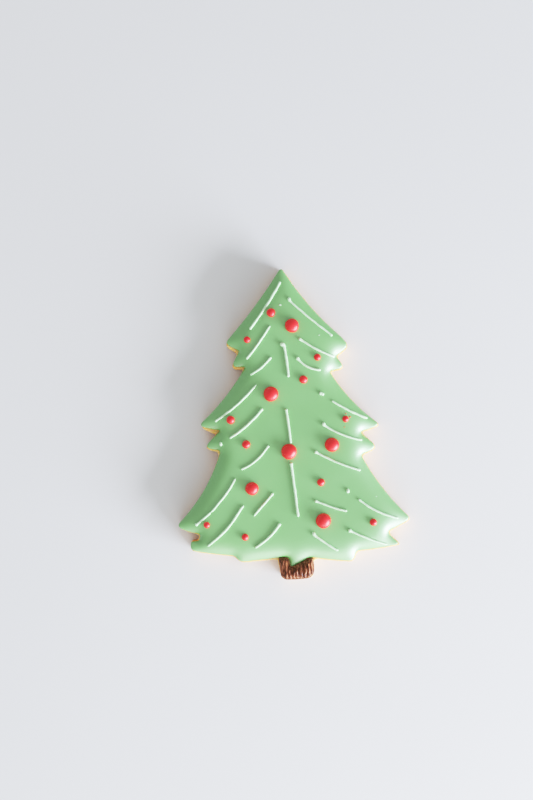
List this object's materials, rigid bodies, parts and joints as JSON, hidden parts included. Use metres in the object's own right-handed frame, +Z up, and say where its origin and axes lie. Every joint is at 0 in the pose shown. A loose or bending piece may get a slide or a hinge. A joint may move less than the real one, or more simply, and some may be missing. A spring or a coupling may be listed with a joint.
{
  "type": "iced sugar cookie",
  "caption": "Fir tree shaped sugar cookie, a flat golden biscuit under poured green icing with pale piped needles, round red baubles and a ribbed brown trunk.",
  "frame": {"origin": "under the middle of the biscuit's box, on the flat underside that it rests on", "axes": "+Y from the trunk to the apex of the tree, +Z up from the plain underside to the iced side, +X to the right of the tree seen from above"},
  "size_m": [0.0764, 0.1026, 0.0111],
  "materials": {
    "baked_biscuit": "matt, fine crumb, browned a little at the lower edge",
    "green_icing": "satin dried sugar icing, smooth and slightly uneven",
    "pale_piping": "satin piped icing in very pale mint green",
    "red_icing": "soft gloss on domed red icing",
    "brown_icing": "ribbed brown icing with a soft gloss on the ridges"
  },
  "bodies": {
    "root": {"biscuit": "baked_biscuit", "green_icing": "green_icing", "trunk_icing": "brown_icing"}
  },
  "joints": []
}
